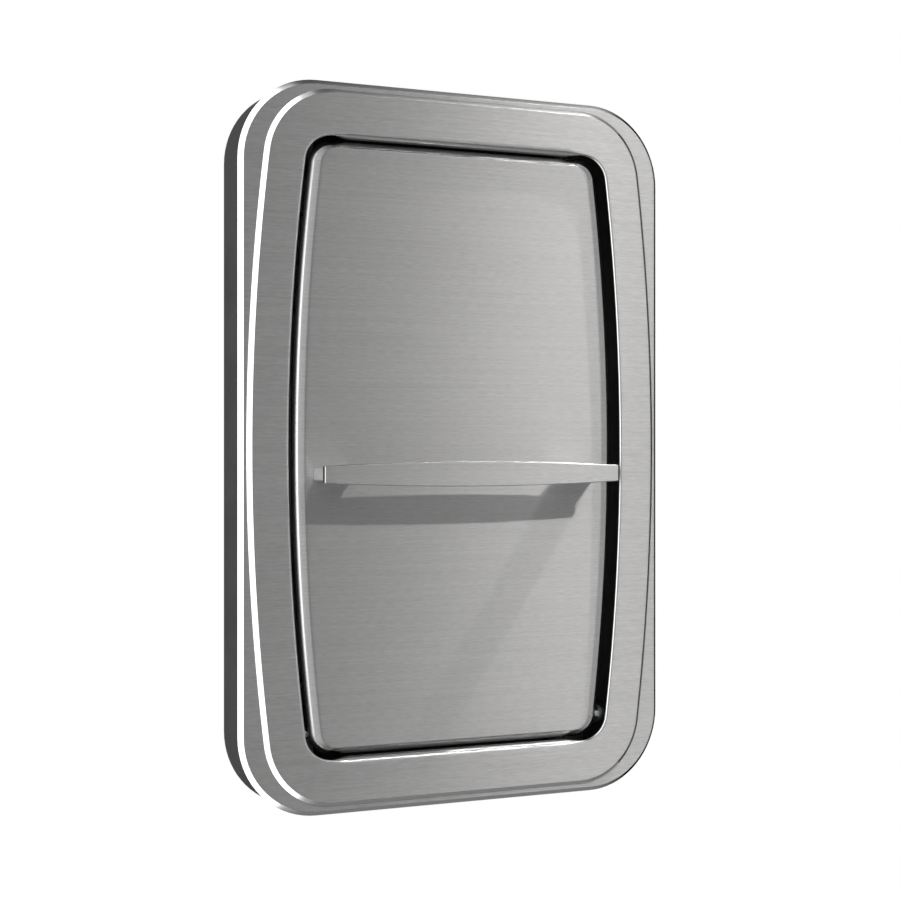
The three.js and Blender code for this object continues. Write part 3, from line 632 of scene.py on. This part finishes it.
def makeStraps():
    for name, side in (("left", -1), ("right", 1)):
        bpy.ops.object.select_all(action="DESELECT")
        bpy.ops.mesh.primitive_grid_add(x_subdivisions=strapSet["cuts"], y_subdivisions=strapSet["crossCuts"],
                                        size=1)
        strap = bpy.context.object
        strap.name = "strap" + name.capitalize()
        length = strapSet["end"] - strapSet["start"]
        top = strapSet["floor"] - strapSet["thickness"]
        for vertex in strap.data.vertices:
            along, across = vertex.co.x + 0.5, vertex.co.y
            crown = strapSet["crown"] * math.cos(math.pi * across)  # thinner towards its woven edges
            x = side * (strapSet["start"] + along * length)
            out = top + strapSet["lift"] - crown
            vertex.co = Vector((x, -out, across * strapSet["width"])) * mm
        tidyMesh(strap)
        applyModifier(strap, "SOLIDIFY", thickness=strapSet["weave"] * mm, offset=-1)
        tidyMesh(strap, 50)
        placePiece(strap, "bed", "webbing", webbing, "strap_" + name)


# round-head screws that hold the plates, on the wall side and on the bed
screwSet = {"radius": 5.0, "rise": 2.6, "sides": 24, "rings": 12, "crownCut": 0.9, "recessInset": 0.1,
            "recessDepth": 0.45}
railScrew = {"x": 203.2, "out": 14.0, "levels": (-410.0, -180.0, 120.0, 410.0)}
coverScrew = {"x": 98.0, "out": 30.2, "levels": (72.0, 248.0)}
anchorScrew = {"x": 139.0, "out": 50.7, "levels": (-20.0, 20.0)}


def makeScrew(name, x, out, z, facing, body):
    # facing 1 looks at the user when the bed is shut, -1 looks at the wall
    bpy.ops.object.select_all(action="DESELECT")
    bpy.ops.mesh.primitive_uv_sphere_add(segments=screwSet["sides"], ring_count=screwSet["rings"], radius=1)
    screw = bpy.context.object
    screw.name = name
    bpy.ops.object.mode_set(mode="EDIT")
    bpy.ops.mesh.select_all(action="SELECT")
    bpy.ops.mesh.bisect(plane_co=(0, 0, 0), plane_no=(0, 0, 1), clear_inner=True, use_fill=True)
    bpy.ops.mesh.select_all(action="SELECT")
    bpy.ops.mesh.bisect(plane_co=(0, 0, screwSet["crownCut"]), plane_no=(0, 0, 1), clear_outer=True,
                        use_fill=True)
    bpy.ops.mesh.inset(thickness=screwSet["recessInset"])
    bpy.ops.mesh.extrude_region_move(TRANSFORM_OT_translate={"value": (0, 0, -screwSet["recessDepth"])})
    bpy.ops.object.mode_set(mode="OBJECT")
    for vertex in screw.data.vertices:
        rise = vertex.co.z * screwSet["rise"]
        flat = Vector((vertex.co.x, vertex.co.y)) * screwSet["radius"]
        vertex.co = Vector((x + flat.x, -(out + facing * rise), z + flat.y)) * mm
    tidyMesh(screw, 40)
    placePiece(screw, body, "zinc_steel", zinc)


def screwPlaces(row, facing):
    return [(side * row["x"], row["out"], z, facing) for side in (-1, 1) for z in row["levels"]]


def makeScrews():
    rows = {"cabinet": screwPlaces(railScrew, 1) + screwPlaces(coverScrew, 1),
            "bed": screwPlaces(anchorScrew, -1)}
    for body, places in rows.items():
        for i, (x, out, z, facing) in enumerate(places):
            makeScrew("%sScrew%02d" % (body, i), x, out, z, facing, body)


# moulded caps over the ends of the hinge rod
capSet = {"radius": 7.6, "depth": 3.2, "sides": 40, "bevel": 1.0, "x": 225.6, "out": 53.0, "level": -362.0}


def makeCaps():
    for name, side in (("Left", -1), ("Right", 1)):
        bpy.ops.object.select_all(action="DESELECT")
        bpy.ops.mesh.primitive_cylinder_add(vertices=capSet["sides"], radius=capSet["radius"] * mm,
                                            depth=capSet["depth"] * mm)
        cap = bpy.context.object
        cap.name = "rodCap" + name
        for vertex in cap.data.vertices:
            x, y, z = vertex.co / mm
            vertex.co = Vector((side * capSet["x"] + z, -capSet["out"] + x, capSet["level"] + y)) * mm
        applyModifier(cap, "BEVEL", width=capSet["bevel"] * mm, segments=4, limit_method="ANGLE",
                      angle_limit=math.radians(60))
        tidyMesh(cap, 40)
        placePiece(cap, "cabinet", "rubber", rubber)


# CAD nodes that keep their own shape take the finer materials
nodeFinish = {
    "zinc_steel": zinc, "polished_rod": chrome, "black_paint": blackPaint, "buckle_plastic": buckleBlack,
    "rubber": rubber, "charcoal_plastic": charcoal, "bed_plastic": trayGrey, "brushed_steel": steel,
    "webbing": webbing,
}


def finishNodes():
    slots = {row["node"]: row["material_slot"] for row in frame["record"]["subparts"]}
    for node, slotName in slots.items():
        cadPiece = bpy.data.objects.get(node)
        if cadPiece and cadPiece.type == "MESH":
            cadPiece.data.materials.clear()
            cadPiece.data.materials.append(nodeFinish[slotName])


# studio: white surroundings for the camera; the metal sees a bright wall on its left, a softer one on its
# right, an open top and a dark room behind
studioSet = {
    "keyFrom": (0.44, -0.63, 0.64), "keyStrength": 1.9,
    "gleamFrom": (0.508, -0.617, 0.601), "gleamStrength": 0.28,
    "rakeFrom": (0.549, -0.098, 0.833), "rakeStrength": 0.6,
    "keyColour": (1.0, 0.985, 0.968), "keyAngle": 0.5,
    # start, end, value before and value after of each soft step
    "leftWall": (-0.71, -0.80, 0.0, 2.1), "leftRise": (0.35, 1.0, 0.0, -0.65),
    "front": (0.18, 0.06, 0.0, 0.75), "rightWall": (0.40, 0.50, 0.055, 0.285),
    "farRight": (0.60, 0.72, 0.0, 0.15), "low": (-0.3, -0.75, 1.0, 0.30),
    "top": (0.5, 0.9, 0.0, 0.60), "topSide": (0.38, 0.54, 0.15, 1.0),
    "below": (-0.45, -0.85, 0.0, 0.30), "behind": (0.02, 0.22, 1.0, 0.03),
    "floorLevel": -1.2, "floorSize": 4.0, "floorColour": (0.82, 0.82, 0.82),
    "floorRoughness": 0.8, "floorGlow": 0.93,
}


def addStep(tree, source, step):
    # soft step between two directions
    ramp = addNode(tree, "ShaderNodeMapRange", interpolation_type="SMOOTHSTEP")
    for key, value in zip(("From Min", "From Max", "To Min", "To Max"), studioSet[step]):
        ramp.inputs[key].default_value = value
    tree.links.new(source, ramp.inputs["Value"])
    return ramp.outputs["Result"]


def makeLights():
    # the key light in two shares, for matt surfaces and for metal, and a raking light along the door
    for share in ("key", "gleam", "rake"):
        bpy.ops.object.light_add(type="SUN", location=(0, 0, 3))
        light = bpy.context.object
        light.name = share + "Light"
        light.rotation_euler = Vector(studioSet[share + "From"]).to_track_quat("Z", "Y").to_euler()
        light.data.energy = studioSet[share + "Strength"]
        light.data.angle = math.radians(studioSet["keyAngle"])
        light.data.color = studioSet["keyColour"]
        light.visible_glossy = share != "key"
        light.visible_diffuse = share == "key"


def makeWorld():
    world = bpy.data.worlds.new("studioWorld")
    scene.world = world
    world.use_nodes = True
    tree = world.node_tree
    tree.nodes.clear()
    coords = addNode(tree, "ShaderNodeTexCoord")
    split = addNode(tree, "ShaderNodeSeparateXYZ")
    tree.links.new(coords.outputs["Generated"], split.inputs[0])
    x, y, z = (split.outputs[axis] for axis in "XYZ")
    height = addNode(tree, "ShaderNodeMath", operation="ABSOLUTE")
    tree.links.new(z, height.inputs[0])
    rise = addMath(tree, "ADD", x, addStep(tree, height.outputs[0], "leftRise"))
    walls = addMath(tree, "ADD", addStep(tree, x, "front"), addStep(tree, x, "rightWall"))
    walls = addMath(tree, "ADD", walls, addStep(tree, x, "farRight"))
    walls = addMath(tree, "MULTIPLY", walls, addStep(tree, z, "low"))
    walls = addMath(tree, "ADD", walls, addStep(tree, rise, "leftWall"))
    walls = addMath(tree, "MULTIPLY", walls, addStep(tree, y, "behind"))
    above = addMath(tree, "MULTIPLY", addStep(tree, z, "top"), addStep(tree, x, "topSide"))
    walls = addMath(tree, "ADD", walls, above)
    walls = addMath(tree, "ADD", walls, addStep(tree, z, "below"))
    room = addNode(tree, "ShaderNodeBackground")
    room.inputs["Color"].default_value = (1, 1, 1, 1)
    tree.links.new(walls, room.inputs["Strength"])
    white = addNode(tree, "ShaderNodeBackground")
    white.inputs["Color"].default_value = (1, 1, 1, 1)
    path = addNode(tree, "ShaderNodeLightPath")
    seen = addMath(tree, "MAXIMUM", path.outputs["Is Camera Ray"], path.outputs["Is Transmission Ray"])
    mix = addNode(tree, "ShaderNodeMixShader")
    output = addNode(tree, "ShaderNodeOutputWorld")
    tree.links.new(seen, mix.inputs[0])
    tree.links.new(room.outputs[0], mix.inputs[1])
    tree.links.new(white.outputs[0], mix.inputs[2])
    tree.links.new(mix.outputs[0], output.inputs[0])


def makeFloor():
    # pale floor that shows nearly white to the camera and keeps the object's shadow
    bpy.ops.mesh.primitive_plane_add(size=studioSet["floorSize"], location=(0, 0, studioSet["floorLevel"]))
    floor = bpy.context.object
    floor.name = "studioFloor"
    floor.visible_glossy = False
    material, tree, shader = startMaterial("paleFloor", studioSet["floorColour"],
                                           studioSet["floorRoughness"])
    path = addNode(tree, "ShaderNodeLightPath")
    glow = addNode(tree, "ShaderNodeEmission")
    share = addNode(tree, "ShaderNodeMath", operation="MULTIPLY")
    share.inputs[1].default_value = studioSet["floorGlow"]
    mix = addNode(tree, "ShaderNodeMixShader")
    tree.links.new(path.outputs["Is Camera Ray"], share.inputs[0])
    tree.links.new(share.outputs[0], mix.inputs[0])
    tree.links.new(shader.outputs[0], mix.inputs[1])
    tree.links.new(glow.outputs[0], mix.inputs[2])
    tree.links.new(mix.outputs[0], tree.nodes["Material Output"].inputs[0])
    floor.data.materials.append(material)


makeCamera()
finishNodes()
makeBox()
makeFlange()
makeSurround()
print("cabinet done")
makeDoor()
makeHandle()
makeTray()
print("bed done")
makeStraps()
makeScrews()
makeCaps()
print("straps and screws done")
makeLights()
makeWorld()
makeFloor()
print("studio done")
